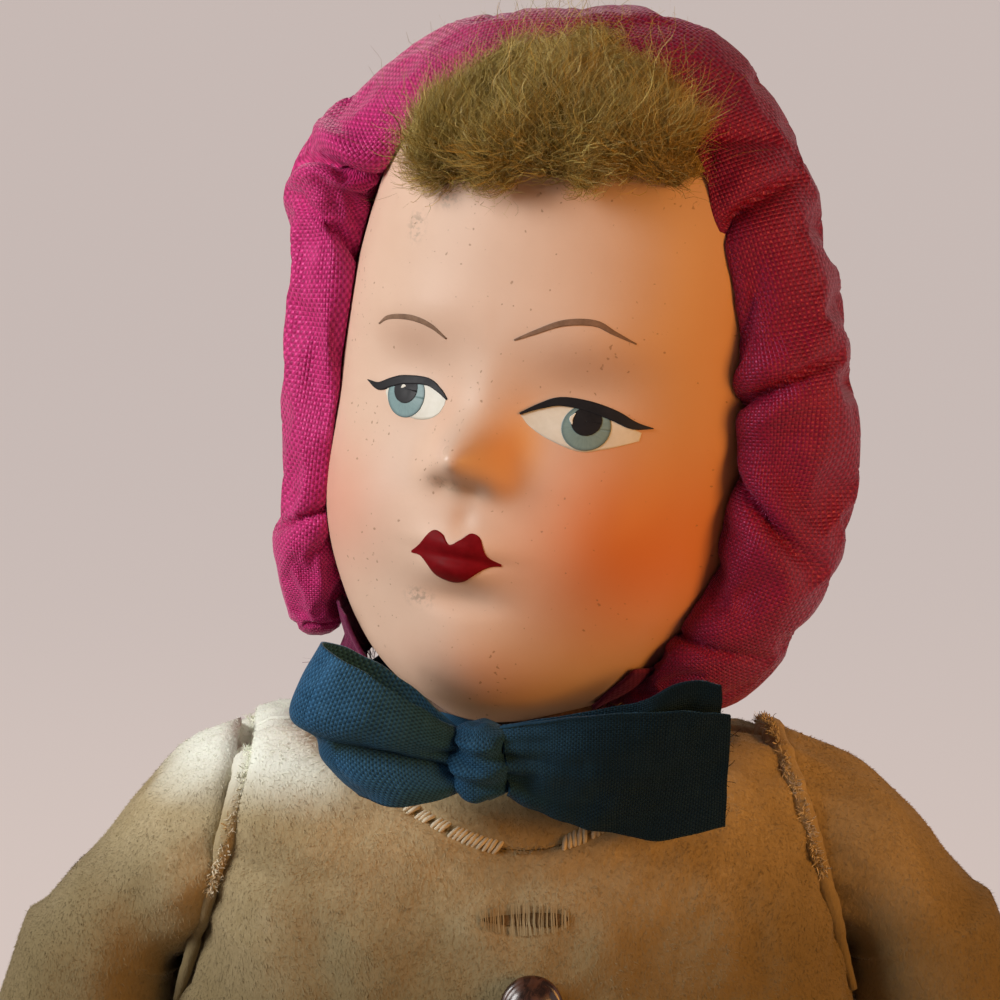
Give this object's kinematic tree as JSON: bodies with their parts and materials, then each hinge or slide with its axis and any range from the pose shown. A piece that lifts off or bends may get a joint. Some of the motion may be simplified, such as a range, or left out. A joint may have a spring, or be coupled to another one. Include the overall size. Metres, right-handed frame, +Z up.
{
  "type": "cloth doll",
  "caption": "Seated stuffed cloth doll with a painted mask face, mohair tuft, padded satin hood, ribbon bow, plush body, and arms, legs and head that turn at their seams.",
  "frame": {"origin": "middle of the flat seat that the doll sits on", "axes": "+Z up through the body, -Y the way the body faces, +X to the doll's own left"},
  "size_m": [0.202, 0.1997, 0.2585],
  "materials": {
    "plush": "short ecru pile, worn",
    "stuffing": "loose cotton",
    "muslin": "plain woven cotton",
    "ribbon": "navy taffeta, fine weave",
    "button": "polished dark brown",
    "face_paint": "painted composition, satin",
    "satin": "raspberry rayon satin",
    "hood_hem": "frayed satin edge",
    "mohair": "curled mohair",
    "felt": "pressed felt"
  },
  "bodies": {
    "torso": {"torso_front": "plush", "torso_back": "plush", "neck_yoke": "plush", "torso_stuffing": "stuffing", "neck_stub": "muslin", "ribbon_band": "ribbon", "ribbon_knot": "ribbon", "ribbon_right_loop": "ribbon", "ribbon_left_tail": "ribbon", "ribbon_back_tail": "ribbon", "front_button": "button", "button_thread": "muslin"},
    "head": {"face_mask": "face_paint", "head_back": "muslin", "head_stuffing": "stuffing", "hood_roll": "satin", "hood_crown": "satin", "hood_neck_edge": "hood_hem", "hair_tuft": "mohair", "hair_weft": "muslin"},
    "arm_left": {"arm_left_cover": "plush", "arm_left_stuffing": "stuffing"},
    "arm_right": {"arm_right_cover": "plush", "arm_right_stuffing": "stuffing"},
    "leg_left": {"leg_left_cover": "plush", "leg_left_stuffing": "stuffing", "foot_left_sole": "felt"},
    "leg_right": {"leg_right_cover": "plush", "leg_right_stuffing": "stuffing", "foot_right_sole": "felt"}
  },
  "joints": [
    {"name": "neck_turn", "type": "hinge", "parent": "torso", "child": "head", "pos_m": [0, 0, 0.138], "axis": [0.1392, 0, 0.9903], "range_deg": [-18, 62]},
    {"name": "shoulder_left", "type": "hinge", "parent": "torso", "child": "arm_left", "pos_m": [0.0472, 0, 0.119], "axis": [0.9563, 0, 0.2924], "range_deg": [-100, 40]},
    {"name": "shoulder_right", "type": "hinge", "parent": "torso", "child": "arm_right", "pos_m": [-0.0472, 0, 0.119], "axis": [0.9563, 0, -0.2924], "range_deg": [-100, 40]},
    {"name": "hip_left", "type": "hinge", "parent": "torso", "child": "leg_left", "pos_m": [0.028, -0.026, 0.0203], "axis": [1, 0, 0], "range_deg": [0, 90]},
    {"name": "hip_right", "type": "hinge", "parent": "torso", "child": "leg_right", "pos_m": [-0.028, -0.026, 0.0203], "axis": [1, 0, 0], "range_deg": [0, 90]}
  ]
}
